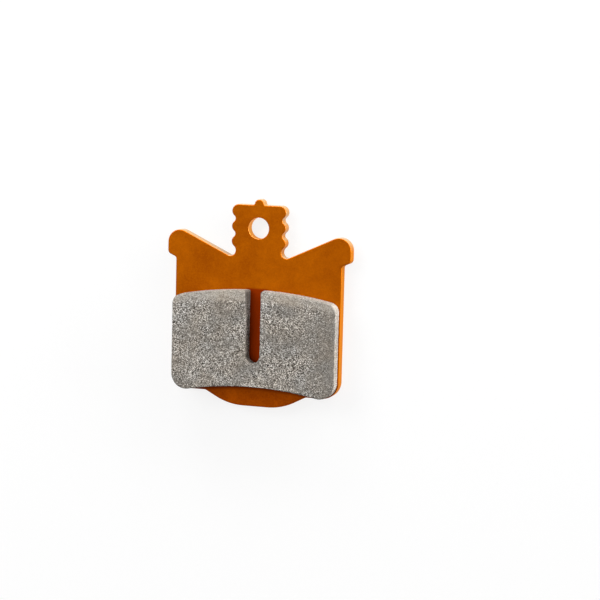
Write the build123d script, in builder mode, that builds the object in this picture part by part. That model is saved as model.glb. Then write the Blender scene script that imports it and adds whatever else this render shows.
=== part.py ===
from build123d import *
import math
import os

# All sizes are in millimetres and degrees. The pad lies on its back: the pin hole's axis is the Z axis,
# the plate's back face is Z = 0, +Y points to the hanging tab and +Z out of the friction face.

# Backing plate
plate_thickness = 2.0
plate_edge_radius = 0.22
side_half_width = 17.13
plate_bottom = -32.6
bottom_corner_radius = 3.4

# Hanging tab: pin hole, top nub and the ribs down both flanks
pin_hole_diameter = 4.2
pin_hole_edge_radius = 0.1
tab_top = 4.56
tab_half_width = 5.57
tab_corner_radius = 1.34
rib_count = 3
rib_pitch = 2.98
rib_depth = 0.72
rib_groove_share = 0.38
nub_height = 1.1
nub_radius = 0.95
nub_root_radius = 0.35

# Wings that rise from the neck of the tab to an ear on each side
neck_radius = 1.09
wing_slope = 25.0
ear_overhang = 1.75
ear_top_radius = 2.48
ear_bottom = -5.76
ear_underside_drop = 0.72
ear_corner_radius = 0.97
ear_root_radius = 0.6

# Shallow lobe below the lower edge
lobe_drop = 2.6
lobe_half_width = 10.44
lobe_tip_half_width = 5.55
lobe_root_radius = 1.0
lobe_shoulder_radius = 12.0

# Friction block, set in from the plate's sides by a small margin
friction_thickness = 2.4
friction_side_margin = 0.3
friction_top = -12.0
friction_top_arch_radius = 76.5
friction_top_corner_radius = 1.9
friction_foot_rise = 1.6
friction_foot_arch_radius = 68.5
friction_bottom_corner_radius = 3.0
friction_edge_chamfer = 0.12

# Slot down the middle of the friction block, open at the top
slot_width = 3.05
slot_web = 4.65
slot_mouth_radius = 0.35

# Values that follow from the sizes above
crest_y = tab_top - tab_corner_radius
groove_half_height = rib_pitch * rib_groove_share / 2
crest_half_height = rib_pitch / 2 - groove_half_height
rib_meet_x = tab_half_width - rib_depth * (1 - rib_groove_share)
rib_turn = 2 * math.degrees(math.atan(2 * rib_depth / rib_pitch))
nub_turn = math.degrees(math.acos(1 - nub_height / (nub_radius + nub_root_radius)))
ear_half_width = side_half_width + ear_overhang
lobe_bottom = plate_bottom - lobe_drop
friction_half_width = side_half_width - friction_side_margin
friction_foot = plate_bottom + friction_foot_rise
slot_end = friction_foot + slot_web


def arch_height(radius, half_span):
    return radius - math.sqrt(radius**2 - half_span**2)


with BuildPart() as backing_plate:
    with BuildSketch():
        with BuildLine():
            # Nub and top edge
            nub_crown = JernArc((0, tab_top + nub_height), (1, 0), nub_radius, -nub_turn)
            nub_root = JernArc(nub_crown @ 1, nub_crown % 1, nub_root_radius, nub_turn)
            top_edge = Line(nub_root @ 1, (tab_half_width - tab_corner_radius, tab_top))
            tab_corner = JernArc(top_edge @ 1, (1, 0), tab_corner_radius, -90)
            # Ribs: broad crests and narrower grooves, arcs that run smoothly into each other
            first_crest_end = (rib_meet_x, crest_y - crest_half_height)
            flank = TangentArc(tab_corner @ 1, first_crest_end, tangent=(0, -1))
            for rib in range(1, rib_count):
                groove_y = crest_y - (rib - 0.5) * rib_pitch
                groove_floor = (tab_half_width - rib_depth, groove_y)
                groove = ThreePointArc(flank @ 1, groove_floor, (rib_meet_x, groove_y - groove_half_height))
                next_y = crest_y - rib * rib_pitch
                crest_end = (rib_meet_x, next_y - crest_half_height)
                flank = ThreePointArc(groove @ 1, (tab_half_width, next_y), crest_end)
            # Neck, turned until it runs along the wing
            neck = JernArc(flank @ 1, flank % 1, neck_radius, 90 + rib_turn + wing_slope)
            wing_start = neck @ 1
            wing_rise = (ear_half_width - wing_start.X) * math.tan(math.radians(wing_slope))
            # Wing, ear, side, lower corner and lobe as rounded corners on one line
            FilletPolyline(
                wing_start,
                (ear_half_width, wing_start.Y + wing_rise),
                (ear_half_width, ear_bottom),
                (side_half_width, ear_bottom - ear_underside_drop),
                (side_half_width, plate_bottom),
                (lobe_half_width, plate_bottom),
                (lobe_tip_half_width, lobe_bottom),
                (0, lobe_bottom),
                radius=[
                    ear_top_radius,
                    ear_corner_radius,
                    ear_root_radius,
                    bottom_corner_radius,
                    lobe_root_radius,
                    lobe_shoulder_radius,
                ],
            )
            mirror(about=Plane.YZ)
        make_face()
    extrude(amount=plate_thickness)
    # Blanked from the front, so that the front rim is rolled over and the back rim is crisp
    fillet(backing_plate.faces().sort_by(Axis.Z)[-1].edges(), radius=plate_edge_radius)
    # Pin hole, punched from the front as well
    Hole(radius=pin_hole_diameter / 2)
    front_rim = backing_plate.edges(Select.LAST).filter_by(GeomType.CIRCLE).sort_by(Axis.Z)[-1]
    fillet(front_rim, radius=pin_hole_edge_radius)

with BuildPart() as friction_pad:
    with BuildSketch(Plane.XY.offset(plate_thickness)) as friction_outline:
        with BuildLine():
            top_corner_y = friction_top - arch_height(friction_top_arch_radius, friction_half_width)
            foot_corner_y = friction_foot - arch_height(friction_foot_arch_radius, friction_half_width)
            left, right = -friction_half_width, friction_half_width
            top_arch = ThreePointArc((left, top_corner_y), (0, friction_top), (right, top_corner_y))
            right_side = Line(top_arch @ 1, (right, foot_corner_y))
            foot_arch = ThreePointArc(right_side @ 1, (0, friction_foot), (left, foot_corner_y))
            Line(foot_arch @ 1, top_arch @ 0)
        make_face()
        fillet(friction_outline.vertices().sort_by(Axis.Y)[-2:], radius=friction_top_corner_radius)
        fillet(friction_outline.vertices().sort_by(Axis.Y)[:2], radius=friction_bottom_corner_radius)
    extrude(amount=friction_thickness)
    # Rubbing face with its outer edge eased
    rubbing_face = friction_pad.faces().sort_by(Axis.Z)[-1]
    chamfer(rubbing_face.edges(), length=friction_edge_chamfer)
    # Slot with crisp edges; its upper round end lies past the block, so that only its lower one shows
    slot_length = friction_top - slot_end + slot_width
    with BuildSketch(Plane.XY.offset(plate_thickness)):
        with Locations((0, slot_end + slot_length / 2)):
            SlotOverall(slot_length, slot_width, rotation=90)
    extrude(amount=friction_thickness, mode=Mode.SUBTRACT)
    mouth_middle = (0, friction_top, plate_thickness + friction_thickness / 2)
    slot_mouth = friction_pad.edges().filter_by(Axis.Z).sort_by_distance(mouth_middle)[:2]
    fillet(slot_mouth, radius=slot_mouth_radius)

backing_plate.part.label = "backing_plate"
friction_pad.part.label = "friction_pad"

os.makedirs("parts", exist_ok=True)
export_step(backing_plate.part, "parts/backing_plate.step")
export_step(friction_pad.part, "parts/friction_pad.step")
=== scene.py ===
import math

import bpy
from mathutils import Matrix, Vector


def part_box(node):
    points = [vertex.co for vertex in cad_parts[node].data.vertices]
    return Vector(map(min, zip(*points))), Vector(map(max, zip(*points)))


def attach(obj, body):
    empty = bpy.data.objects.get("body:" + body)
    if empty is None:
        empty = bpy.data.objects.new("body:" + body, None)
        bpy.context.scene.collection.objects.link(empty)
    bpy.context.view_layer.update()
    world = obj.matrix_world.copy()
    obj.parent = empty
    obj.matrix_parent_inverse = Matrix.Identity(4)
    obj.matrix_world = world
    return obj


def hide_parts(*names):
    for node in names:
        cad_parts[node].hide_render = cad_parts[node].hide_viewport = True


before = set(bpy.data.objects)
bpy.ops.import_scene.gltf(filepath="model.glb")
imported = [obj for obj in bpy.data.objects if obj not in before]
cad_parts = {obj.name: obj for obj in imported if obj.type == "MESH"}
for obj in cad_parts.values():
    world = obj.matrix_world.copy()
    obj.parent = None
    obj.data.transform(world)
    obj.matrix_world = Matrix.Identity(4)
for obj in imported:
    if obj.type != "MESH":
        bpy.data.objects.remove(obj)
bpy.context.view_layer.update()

scene = bpy.context.scene
scene.view_settings.view_transform = "Standard"
bpy.ops.object.select_all(action="DESELECT")


# a node socket that takes part in Python expressions
class Wire:
    def __init__(self, tree, socket):
        self.tree = tree
        self.socket = socket

    # adds any node: its settings first, then the values or links of its sockets
    def node(self, kind, settings=None, inputs=None, output=0):
        new = self.tree.nodes.new(kind)
        for name, value in (settings or {}).items():
            if name == "stops":
                fillRamp(new.color_ramp, value)
            else:
                setattr(new, name, value)
        for name, value in (inputs or {}).items():
            if isinstance(value, Wire):
                self.tree.links.new(value.socket, new.inputs[name])
            else:
                new.inputs[name].default_value = value
        return Wire(self.tree, new.outputs[output])

    def maths(self, operation, first, second):
        return self.node("ShaderNodeMath", {"operation": operation}, {0: first, 1: second})

    def __add__(self, other):
        return self.maths("ADD", self, other)

    def __radd__(self, other):
        return self.maths("ADD", other, self)

    def __sub__(self, other):
        return self.maths("SUBTRACT", self, other)

    def __rsub__(self, other):
        return self.maths("SUBTRACT", other, self)

    def __mul__(self, other):
        return self.maths("MULTIPLY", self, other)

    def __rmul__(self, other):
        return self.maths("MULTIPLY", other, self)


def fillRamp(ramp, stops):
    while len(ramp.elements) < len(stops):
        ramp.elements.new(1.0)
    for element, (place, colour) in zip(ramp.elements, stops):
        element.position = place
        element.color = colour


def rgb(colour):
    return (*colour, 1.0)


# a new material: its shader node and a wire to start expressions from
def newMaterial(name):
    material = bpy.data.materials.new(name)
    material.use_nodes = True
    tree = material.node_tree
    shader = tree.nodes["Principled BSDF"]
    coords = tree.nodes.new("ShaderNodeTexCoord")
    return material, shader, Wire(tree, coords.outputs["Object"])


def feed(shader, name, wire):
    wire.tree.links.new(wire.socket, shader.inputs[name])


# the three parts of a vector
def axes(vector):
    split = vector.node("ShaderNodeSeparateXYZ", {}, {0: vector})
    return [Wire(vector.tree, socket) for socket in split.socket.node.outputs]


# the three parts of the surface's direction
def facing(place):
    geometry = place.tree.nodes.new("ShaderNodeNewGeometry")
    return axes(Wire(place.tree, geometry.outputs["Normal"]))


def magnitude(wire):
    return wire.maths("ABSOLUTE", wire, 0.0)


def noise(place, scale, detail, roughness):
    return place.node("ShaderNodeTexNoise", {}, {
        "Vector": place, "Scale": scale, "Detail": detail, "Roughness": roughness})


def mixColour(factor, low, high):
    return factor.node("ShaderNodeMix", {"data_type": "RGBA"}, {0: factor, 6: low, 7: high}, output=2)


def remap(wire, fromLow, fromHigh, toLow=0.0, toHigh=1.0):
    return wire.node("ShaderNodeMapRange", {"clamp": True}, {
        "Value": wire, "From Min": fromLow, "From Max": fromHigh, "To Min": toLow, "To Max": toHigh})


# camera: the photograph's viewing angle, found from the pad's own symmetry
view = {
    "turn": 17.85,               # degrees to the pad's right
    "rise": 7.22,                # degrees towards the hanging tab
    "roll": 1.475,
    "frame": 600,                # pixels across the image
    "focal": 1950.0,             # pixels
    "distance": 0.37957,         # metres, to the pin hole
    "holePlace": (258.61, 228.5),    # pixels, where the pin hole's centre stands
    "holeHeight": 0.002,         # metres, the plate's front face
    "sensor": 36.0,              # millimetres
    "near": 0.01,                # metres, where the view starts
}


def placeCamera():
    turn, rise, roll = (math.radians(view[k]) for k in ("turn", "rise", "roll"))
    back = Vector((math.sin(turn) * math.cos(rise), math.sin(rise), math.cos(turn) * math.cos(rise)))
    level = Vector((0, 1, 0)).cross(back).normalized()
    upright = back.cross(level)
    right = math.cos(roll) * level + math.sin(roll) * upright
    up = math.cos(roll) * upright - math.sin(roll) * level
    middle = view["frame"] / 2
    across = (view["holePlace"][0] - middle) / view["focal"] * view["distance"]
    upward = (middle - view["holePlace"][1]) / view["focal"] * view["distance"]
    place = back * view["distance"] - right * across - up * upward
    place.z += view["holeHeight"]
    bpy.ops.object.camera_add()
    camera = bpy.context.object
    camera.name = "photoCamera"
    camera.data.sensor_width = view["sensor"]
    camera.data.lens = view["focal"] / view["frame"] * view["sensor"]
    camera.data.clip_start = view["near"]
    turned = Matrix((right, up, back)).transposed().to_4x4()
    camera.matrix_world = Matrix.Translation(place) @ turned
    scene.camera = camera


placeCamera()
print("camera placed")


# floor with a low backdrop, sky and soft lamps
studio = {
    "floorReach": 2.2,           # metres, from the pad to the backdrop
    "backdropRise": 0.95,
    "backdropSides": 64,
    "floorDrop": 0.00002,        # metres, keeps the floor clear of the plate's back
    "floorColour": (0.80, 0.80, 0.80),
    "floorWhite": (1.0, 1.0, 1.0),
    "floorGlow": 0.83,           # share of the floor's white that no shadow reaches
    "skyColour": (1.0, 1.0, 1.0),
    "skyStrength": 0.175,
    "aim": (0.0, -0.015, 0.0),
    "lamps": [
        # name, bearing from the tab towards the right, height angle, distance, width, height, watts
        ("leftLamp", -52.0, 34.0, 0.60, 0.40, 0.30, 2.4),
        ("rightRim", 75.0, 7.0, 0.60, 0.45, 0.10, 4.6),
        ("tabRim", 30.0, 9.0, 0.60, 0.45, 0.12, 4.0),
        ("wingRim", -14.0, 9.0, 0.60, 0.30, 0.12, 3.0),
        ("overLamp", 245.0, 72.0, 0.60, 0.50, 0.50, 0.47),
    ],
}


# white where the camera or a reflection sees it, plain grey for the light that it throws back
def floorMaterial():
    material = bpy.data.materials.new("paleFloor")
    material.use_nodes = True
    tree = material.node_tree
    tree.nodes.clear()
    path = tree.nodes.new("ShaderNodeLightPath")
    seen = Wire(tree, path.outputs["Is Camera Ray"])
    for ray in ("Is Glossy Ray", "Is Transmission Ray"):
        seen = seen.maths("MAXIMUM", seen, Wire(tree, path.outputs[ray]))
    shade = mixColour(seen, rgb(studio["floorColour"]), rgb(studio["floorWhite"]))
    matt = seen.node("ShaderNodeBsdfDiffuse", {}, {"Color": shade})
    glow = seen.node("ShaderNodeEmission", {}, {"Color": rgb(studio["floorWhite"]), "Strength": 1.0})
    shown = seen.node("ShaderNodeMixShader", {}, {0: seen * studio["floorGlow"], 1: matt, 2: glow})
    end = tree.nodes.new("ShaderNodeOutputMaterial")
    tree.links.new(shown.socket, end.inputs["Surface"])
    return material


def layFloor():
    bpy.ops.mesh.primitive_circle_add(vertices=studio["backdropSides"], radius=studio["floorReach"],
                                      fill_type="NGON", location=(0, 0, -studio["floorDrop"]))
    floor = bpy.context.object
    floor.name = "studioFloor"
    bpy.ops.object.mode_set(mode="EDIT")
    bpy.ops.mesh.select_mode(type="EDGE")
    bpy.ops.mesh.select_all(action="SELECT")
    bpy.ops.mesh.region_to_loop()
    bpy.ops.mesh.extrude_edges_move(TRANSFORM_OT_translate={"value": (0, 0, studio["backdropRise"])})
    bpy.ops.object.mode_set(mode="OBJECT")
    floor.data.materials.append(floorMaterial())


def setSky():
    world = bpy.data.worlds.new("studioWorld")
    scene.world = world
    world.use_nodes = True
    sky = world.node_tree.nodes["Background"]
    sky.inputs["Color"].default_value = rgb(studio["skyColour"])
    sky.inputs["Strength"].default_value = studio["skyStrength"]


def hangLamps():
    for name, turn, rise, distance, width, height, watts in studio["lamps"]:
        turn, rise = math.radians(turn), math.radians(rise)
        level = math.cos(rise)
        outward = Vector((math.sin(turn) * level, math.cos(turn) * level, math.sin(rise)))
        bpy.ops.object.light_add(type="AREA", location=Vector(studio["aim"]) + outward * distance)
        lamp = bpy.context.object
        lamp.name = name
        lamp.data.shape = "RECTANGLE"
        lamp.data.size = width
        lamp.data.size_y = height
        lamp.data.energy = watts
        lamp.rotation_euler = outward.to_track_quat("Z", "Y").to_euler()


layFloor()
setSky()
hangLamps()
print("studio built")


# backing plate: the solid's own shape under a satin orange coat, places in metres
coat = {
    "mottle": (260.0, 4.0, 0.6),       # patches of about 4 mm: scale, detail and roughness
    "grain": (3200.0, 3.0, 0.6),       # orange peel of about 0.3 mm
    "mottleShare": 0.6,                # the patches' share in the colour, the rest is peel
    "shadeRange": (0.36, 0.64),        # from deep to bright
    "deep": (0.362, 0.0745, 0.0008),
    "bright": (0.506, 0.1195, 0.0012),
    "edge": (0.515, 0.158, 0.0065),    # painted highlight, brighter on the blanked edges
    "edgeFacing": (0.75, 0.35),        # how flat a surface lies, from face to edge
    "sheenAndLacquer": (0.434, 0.212, 0.030),   # painted sheen, yellower along the upper edges, which are also lacquered and glossier
    "sheenFacing": (0.0, 0.75),          # how far those edges face the tab's end
    "sheenEnd": (-0.0120, -0.0100),      # and where that ends, above the block
    "flankFacing": (0.0, 0.7),         # the same on the right flank of the tab
    "flankReach": (0.0070, 0.0064),
    "flankFade": (-0.0027, 0.0025),    # from the neck to the top
    "flankShare": (0.25, 0.80),
    "lacquer": 1.0,
    "lacquerRough": 0.15,
    "lobeDeep": (0.315, 0.050, 0.0008),    # painted shade: redder and darker below the block, towards the lower edge
    "lobeBright": (0.530, 0.098, 0.0012),
    "lobeFade": (-0.0285, -0.0310),
    "footShadow": (0.140, 0.015, 0.0008),    # painted shadow, darkest in the corner below the block
    "footFade": (-0.0321, -0.0313),
    "footBend": 7.3,                   # that corner's arch, per metre
    "slotFloorShade": (0.300, 0.030, 0.0010),    # painted shade, dark on the slot's floor
    "slotFloorTop": (-0.0116, -0.0120),
    "slotFloorEnd": (-0.0284, -0.0280),
    "slotFloorHalf": (0.0025, 0.0021),
    "frontLayer": (0.0015, 0.0018),    # the back has none of these three
    "hole": (0.880, 0.370, 0.066),     # painted highlight on the pin hole's wall, which is fully metallic
    "holeReach": (0.0025, 0.0022),     # just past the hole's own radius
    "metal": 0.50,
    "gloss": 0.0,                      # none besides the metal's and the lacquer's
    "lowAngle": (1.0, 0.76, 0.56),     # tint of what the coat reflects at low angles
    "roughFrom": (0.3, 0.7),
    "roughTo": (0.30, 0.44),
    "bump": 0.12,
    "bumpDepth": 0.00002,
}


def coatMaterial():
    material, shader, place = newMaterial("plateCoat")
    x, y, z = axes(place)
    across, along, out = facing(place)
    mottle = noise(place, *coat["mottle"])
    grain = noise(place, *coat["grain"])
    share = coat["mottleShare"]
    shade = remap(mottle * share + grain * (1.0 - share), *coat["shadeRange"])
    colour = mixColour(shade, rgb(coat["deep"]), rgb(coat["bright"]))

    # painted shade on the lower edge, and a painted shadow in the corner below the block
    front = remap(z, *coat["frontLayer"])
    lobeShade = front * remap(y, *coat["lobeFade"])
    red = mixColour(shade, rgb(coat["lobeDeep"]), rgb(coat["lobeBright"]))
    colour = mixColour(lobeShade, colour, red)
    # painted shadow along the foot of the block
    corner = lobeShade * remap(y + x * x * coat["footBend"], *coat["footFade"])
    colour = mixColour(corner, colour, rgb(coat["footShadow"]))

    # painted highlight on the blanked edges, and a painted sheen under a real lacquer where they face
    # the tab's end
    side = remap(magnitude(out), *coat["edgeFacing"])
    colour = mixColour(side, colour, rgb(coat["edge"]))
    holeWall = side * remap(x * x + y * y, *(reach**2 for reach in coat["holeReach"]))
    upper = remap(along, *coat["sheenFacing"])
    flank = remap(across, *coat["flankFacing"]) * remap(magnitude(x), *coat["flankReach"])
    flank = flank * remap(y, *coat["flankFade"], *coat["flankShare"])
    sheenAndLacquer = side * upper.maths("MAXIMUM", upper, flank)
    sheenAndLacquer = sheenAndLacquer * remap(y, *coat["sheenEnd"]) * (1.0 - holeWall)
    # painted sheen in the base colour; the same mask lacquers these edges
    colour = mixColour(sheenAndLacquer, colour, rgb(coat["sheenAndLacquer"]))

    # painted shade on the floor of the slot, and a painted highlight on the wall of the pin hole
    slotFloorShaded = front * remap(y, *coat["slotFloorTop"]) * remap(y, *coat["slotFloorEnd"])
    slotFloorShaded = slotFloorShaded * remap(magnitude(x), *coat["slotFloorHalf"])
    colour = mixColour(slotFloorShaded, colour, rgb(coat["slotFloorShade"]))
    colour = mixColour(holeWall, colour, rgb(coat["hole"]))

    feed(shader, "Base Color", colour)
    feed(shader, "Roughness", remap((mottle + grain) * 0.5, *coat["roughFrom"], *coat["roughTo"]))
    feed(shader, "Metallic", holeWall * (1.0 - coat["metal"]) + coat["metal"])
    shader.inputs["Specular IOR Level"].default_value = coat["gloss"]
    shader.inputs["Specular Tint"].default_value = rgb(coat["lowAngle"])
    feed(shader, "Coat Weight", sheenAndLacquer * coat["lacquer"])
    shader.inputs["Coat Roughness"].default_value = coat["lacquerRough"]
    relief = place.node("ShaderNodeBump", {}, {
        "Strength": coat["bump"], "Distance": coat["bumpDepth"], "Height": grain})
    feed(shader, "Normal", relief)
    return material


plateCoat = coatMaterial()
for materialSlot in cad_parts["backing_plate"].material_slots:
    materialSlot.material = plateCoat
print("plate coated")


# friction block, worked in millimetres: one outline of arcs and lines, raised and then roughened
block = {
    "mm": 1000.0,
    "crest": -12.0,              # middle of the arched upper edge
    "topArch": 76.5,
    "topCorner": 1.9,
    "footCrest": -31.0,          # middle of the hollow lower edge
    "footArch": 68.5,
    "footCorner": 3.0,
    "slotHalf": 1.525,
    "slotEnd": -26.35,
    "draft": 0.20,               # the slot is this much narrower at its floor, each side
    "mouth": 0.35,               # rounding where the slot opens
    "arcStep": 0.5,              # longest straight bit of an arc
    "touch": 0.01,               # points this near count as being in a place
    "weld": 0.001,
    "voxel": 0.105,
    "softening": (0.5, 3),       # strength and passes of smoothing over the remeshed edges
    "keep": 0.30,                # height above the bond over which the grain fades in
    "swell": (1.1, 0.022),       # size and height of slow unevenness
    "grit": (0.26, 0.034),       # size and height of the grains
    "pits": (0.80, 0.034),       # spacing and depth of the pores
    "pitLevel": 0.6,             # where between a pore's bottom and its rim the surface stays
    "down": -0.999,              # a face that points lower than this looks straight down
}


# the point at a given x and reach from a centre on the middle line, on its upper side
def seat(centre, reach, x):
    return (x, centre[1] + math.sqrt(reach**2 - x**2))


def bearing(centre, point):
    return math.atan2(point[1] - centre[1], point[0] - centre[0])


# spins the last point of the chain about a centre; spin runs clockwise, so its axis points down
def addArc(centre, radius, start, end, height):
    steps = math.ceil(abs(end - start) * radius / block["arcStep"]) + 1
    bpy.ops.mesh.spin(steps=steps, angle=end - start, center=(*centre, height), axis=(0, 0, -1))


def addLine(rise):
    bpy.ops.mesh.extrude_vertices_move(TRANSFORM_OT_translate={"value": (0, rise, 0)})


# right half of the outline, from the slot's round end to the middle of the lower edge
def drawOutline(half, height):
    slot = block["slotHalf"]
    slotCentre = (0, block["slotEnd"] + slot)
    topCentre = (0, block["crest"] - block["topArch"])
    footCentre = (0, block["footCrest"] - block["footArch"])
    mouth = seat(topCentre, block["topArch"] - block["mouth"], slot + block["mouth"])
    topCorner = seat(topCentre, block["topArch"] - block["topCorner"], half - block["topCorner"])
    footCorner = seat(footCentre, block["footArch"] + block["footCorner"], half - block["footCorner"])
    archStart, archEnd = bearing(topCentre, mouth), bearing(topCentre, topCorner)

    bpy.ops.mesh.primitive_plane_add(size=slot, location=(0, block["slotEnd"], height))
    piece = bpy.context.object
    bpy.ops.object.transform_apply(location=True, rotation=True, scale=True)
    bpy.ops.object.mode_set(mode="EDIT")
    bpy.ops.mesh.select_mode(type="VERT")
    bpy.ops.mesh.select_all(action="SELECT")
    bpy.ops.mesh.merge(type="CENTER")    # the chain's first point
    addArc(slotCentre, slot, -math.pi / 2, 0, height)
    addLine(mouth[1] - slotCentre[1])
    addArc(mouth, block["mouth"], math.pi, archStart, height)
    addArc(topCentre, block["topArch"], archStart, archEnd, height)
    addArc(topCorner, block["topCorner"], archEnd, 0, height)
    addLine(footCorner[1] - topCorner[1])
    addArc(footCorner, block["footCorner"], 0, bearing(footCorner, footCentre), height)
    addArc(footCentre, block["footArch"], bearing(footCentre, footCorner), math.pi / 2, height)
    bpy.ops.object.mode_set(mode="OBJECT")
    return piece


def applyModifier(piece, name, kind, settings):
    modifier = piece.modifiers.new(name, kind)
    for key, value in settings.items():
        setattr(modifier, key, value)
    bpy.ops.object.modifier_apply(modifier=name)


def roughen(piece, name, kind, pattern, middle=0.5):
    scale, height = block[name]
    texture = bpy.data.textures.new(name, kind)
    texture.noise_scale = scale
    for key, value in pattern.items():
        setattr(texture, key, value)
    applyModifier(piece, name, "DISPLACE", {
        "texture": texture, "texture_coords": "LOCAL", "strength": height, "mid_level": middle,
        "vertex_group": "open"})


def buildBlock():
    low, high = (corner * block["mm"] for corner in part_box("friction_pad"))
    piece = drawOutline(high.x, low.z)
    piece.name = "frictionBlock"
    piece.data.name = "frictionBlock"
    applyModifier(piece, "mirror", "MIRROR", {"merge_threshold": block["weld"]})
    bpy.ops.object.mode_set(mode="EDIT")
    bpy.ops.mesh.select_all(action="SELECT")
    bpy.ops.mesh.edge_face_add()
    bpy.ops.mesh.extrude_region_move(TRANSFORM_OT_translate={"value": (0, 0, high.z - low.z)})
    bpy.ops.mesh.select_all(action="SELECT")
    bpy.ops.mesh.normals_make_consistent(inside=False)
    bpy.ops.mesh.select_mode(type="VERT")
    bpy.ops.mesh.select_all(action="DESELECT")
    bpy.ops.object.mode_set(mode="OBJECT")

    # lean the slot's walls inwards at its floor
    slot, touch = block["slotHalf"], block["touch"]
    for vertex in piece.data.vertices:
        place = vertex.co
        inSlot = abs(place.x) < slot + block["mouth"] + touch and place.y > block["slotEnd"] - touch
        vertex.select = inSlot and place.z < low.z + touch
    bpy.ops.object.mode_set(mode="EDIT")
    bpy.ops.transform.resize(value=(1.0 - block["draft"] / slot, 1, 1), center_override=(0, 0, low.z))
    bpy.ops.object.mode_set(mode="OBJECT")

    # the bonded side stays flat and sharp, the grain fades in above it
    applyModifier(piece, "remesh", "REMESH", {"mode": "VOXEL", "voxel_size": block["voxel"]})
    group = piece.vertex_groups.new(name="open")
    for vertex in piece.data.vertices:
        weight = (vertex.co.z - low.z) / block["keep"]
        group.add([vertex.index], min(max(weight, 0.0), 1.0), "REPLACE")
    strength, passes = block["softening"]
    applyModifier(piece, "soften", "SMOOTH", {
        "factor": strength, "iterations": passes, "vertex_group": "open"})
    roughen(piece, "swell", "CLOUDS", {"noise_depth": 2})
    roughen(piece, "grit", "CLOUDS", {"noise_depth": 3, "noise_type": "HARD_NOISE"})
    roughen(piece, "pits", "VORONOI", {"noise_intensity": 1.0}, block["pitLevel"])

    # one plain face for the hidden underside
    for polygon in piece.data.polygons:
        polygon.select = polygon.normal.z < block["down"] and polygon.center.z < low.z + touch
    bpy.ops.object.mode_set(mode="EDIT")
    bpy.ops.mesh.select_mode(type="FACE")
    bpy.ops.mesh.delete(type="FACE")
    bpy.ops.mesh.select_mode(type="EDGE")
    bpy.ops.mesh.select_non_manifold()
    bpy.ops.mesh.edge_face_add()
    bpy.ops.object.mode_set(mode="OBJECT")

    piece.scale = (1 / block["mm"],) * 3
    bpy.ops.object.transform_apply(location=True, rotation=True, scale=True)
    bpy.ops.object.shade_smooth()
    return piece


# the block's speckled finish, places in metres
compound = {
    # from graphite through the bulk to bright metal grains
    "tones": [
        (0.00, (0.013, 0.009, 0.006)),
        (0.25, (0.110, 0.095, 0.081)),
        (0.50, (0.210, 0.189, 0.165)),
        (0.75, (0.362, 0.334, 0.303)),
        (1.00, (0.840, 0.792, 0.740)),
    ],
    "grainScale": 7600.0,              # grains of about 0.13 mm
    "fineScale": 9500.0,
    "fineShare": 0.10,
    "noiseSpan": (0.35, 0.65),         # where most of a noise lies
    "patch": (330.0, 4.0, 0.6),        # smudges drawn out along the rubbing direction
    "patchStretch": (0.35, 1.0, 1.0),
    "patchDepth": 0.16,
    "calm": (210.0, 2.0, 0.5),         # areas of weaker and stronger grain
    "calmTo": (0.78, 1.40),
    "tint": (240.0, 2.0, 0.5),         # slow drift between warmer and cooler grey
    "warm": (1.032, 1.000, 0.945),
    "cool": (0.976, 1.000, 1.012),
    "topFade": (-0.0147, -0.0137),     # painted light makes the upper edge paler, and its grain is smoother there
    "topBend": 4.0,                    # how far that band follows the arch, per metre
    "topWander": 0.0012,               # unevenness of the band's lower border
    "topCalm": 0.50,
    # painted light along the upper edge
    "topPaintedLight": 0.70,
    "topFacing": (0.3, 0.7),           # from wall to face
    "topWall": 0.45,                   # share of that on the walls
    "glazeFade": (0.0115, 0.0160),     # smoother towards the right-hand end
    "glaze": 0.45,
    "glazeFacing": (0.50, 0.90),
    "glazeWall": 0.6,
    "arrisShade": 0.62,                     # painted shade on the rounded edges
    "arrisFacing": (0.50, 0.97),
    "paintedWallShading": 1.86,                      # painted light: the walls brighter than the face
    "wallFacing": (0.15, 0.50),
    "upperWallShade": 0.80,                 # painted shade takes some of that back on the wall that faces the tab
    "upperFacing": (0.2, 0.6),
    "upperLean": 0.8,                  # its right-hand end counts less
    "slotHalf": (0.0021, 0.0019),      # painted shade on the slot's walls
    "slotFacing": (0.98, 0.80),
    "slotShade": 0.26,
    "mouthFade": (-0.0165, -0.0130),   # more painted shade on the slot's left wall near its mouth
    "mouthFacing": (0.0, 0.5),
    "mouthShade": 0.66,
    "roughFrom": (0.2, 0.8),
    "roughTo": (0.90, 0.60),
    "specular": 0.25,
}


def grains(place, scale):
    cell = place.node("ShaderNodeTexVoronoi", {"feature": "F1"}, {"Vector": place, "Scale": scale}, 1)
    return cell.node("ShaderNodeSeparateColor", {}, {0: cell}, 0)


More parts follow.
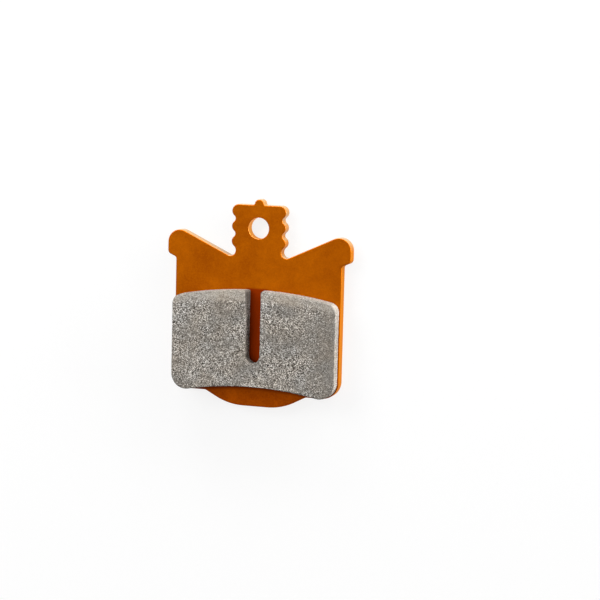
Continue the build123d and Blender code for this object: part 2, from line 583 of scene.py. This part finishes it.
def compoundMaterial():
    material, shader, place = newMaterial("frictionCompound")
    x, y = axes(place)[:2]
    across, along, out = facing(place)
    streaks = place.node("ShaderNodeMapping", {}, {"Vector": place, "Scale": compound["patchStretch"]})
    patch = noise(streaks, *compound["patch"]) - 0.5
    top = remap(y + x * x * compound["topBend"] + patch * compound["topWander"], *compound["topFade"])

    # grains, calmer in patches, along the upper edge and towards the right-hand end
    share = compound["fineShare"]
    grain = grains(place, compound["grainScale"]) * (1.0 - share)
    grain = grain + grains(place, compound["fineScale"]) * share
    glazed = remap(x, *compound["glazeFade"])
    glazed = glazed * remap(out, *compound["glazeFacing"], compound["glazeWall"], 1.0)
    calm = remap(noise(place, *compound["calm"]), *compound["noiseSpan"], *compound["calmTo"])
    calm = calm * (1.0 - top * compound["topCalm"]) * (1.0 - glazed * compound["glaze"])
    mix = (grain - 0.5) * calm + patch * compound["patchDepth"] + 0.5
    stops = [(at, rgb(shade)) for at, shade in compound["tones"]]
    tone = mix.node("ShaderNodeValToRGB", {"stops": stops}, {0: mix})
    drift = remap(noise(place, *compound["tint"]), *compound["noiseSpan"])
    tint = mixColour(drift, rgb(compound["warm"]), rgb(compound["cool"]))
    tone = tone.node("ShaderNodeVectorMath", {"operation": "MULTIPLY"}, {0: tone, 1: tint})

    # painted light and shade on the edges, walls and slot, and painted light along the upper edge
    paintedWallShading = remap(out, *compound["arrisFacing"], compound["arrisShade"], 1.0)
    paintedWallShading = paintedWallShading * remap(out, *compound["wallFacing"], compound["paintedWallShading"], 1.0)
    upward = remap(along - across * compound["upperLean"], *compound["upperFacing"])
    paintedWallShading = paintedWallShading * remap(upward, 0.0, 1.0, 1.0, compound["upperWallShade"])
    inSlot = remap(magnitude(x), *compound["slotHalf"]) * remap(out, *compound["slotFacing"])
    mouth = inSlot * remap(across, *compound["mouthFacing"]) * remap(y, *compound["mouthFade"])
    paintedWallShading = paintedWallShading * (1.0 - inSlot * compound["slotShade"]) * (1.0 - mouth * compound["mouthShade"])
    # painted light along the upper edge, weaker on the walls
    paintedTopLight = top * (1.0 - upward) * remap(out, *compound["topFacing"], compound["topWall"], 1.0)
    paintedLightGain = (paintedTopLight * compound["topPaintedLight"] + 1.0) * paintedWallShading
    tone = tone.node("ShaderNodeVectorMath", {"operation": "SCALE"}, {0: tone, "Scale": paintedLightGain})

    feed(shader, "Base Color", tone)
    feed(shader, "Roughness", remap(mix, *compound["roughFrom"], *compound["roughTo"]))
    shader.inputs["Specular IOR Level"].default_value = compound["specular"]
    return material


frictionBlock = buildBlock()
frictionBlock.data.materials.append(compoundMaterial())
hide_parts("friction_pad")
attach(frictionBlock, "root")
print("friction block built:", len(frictionBlock.data.polygons), "faces")
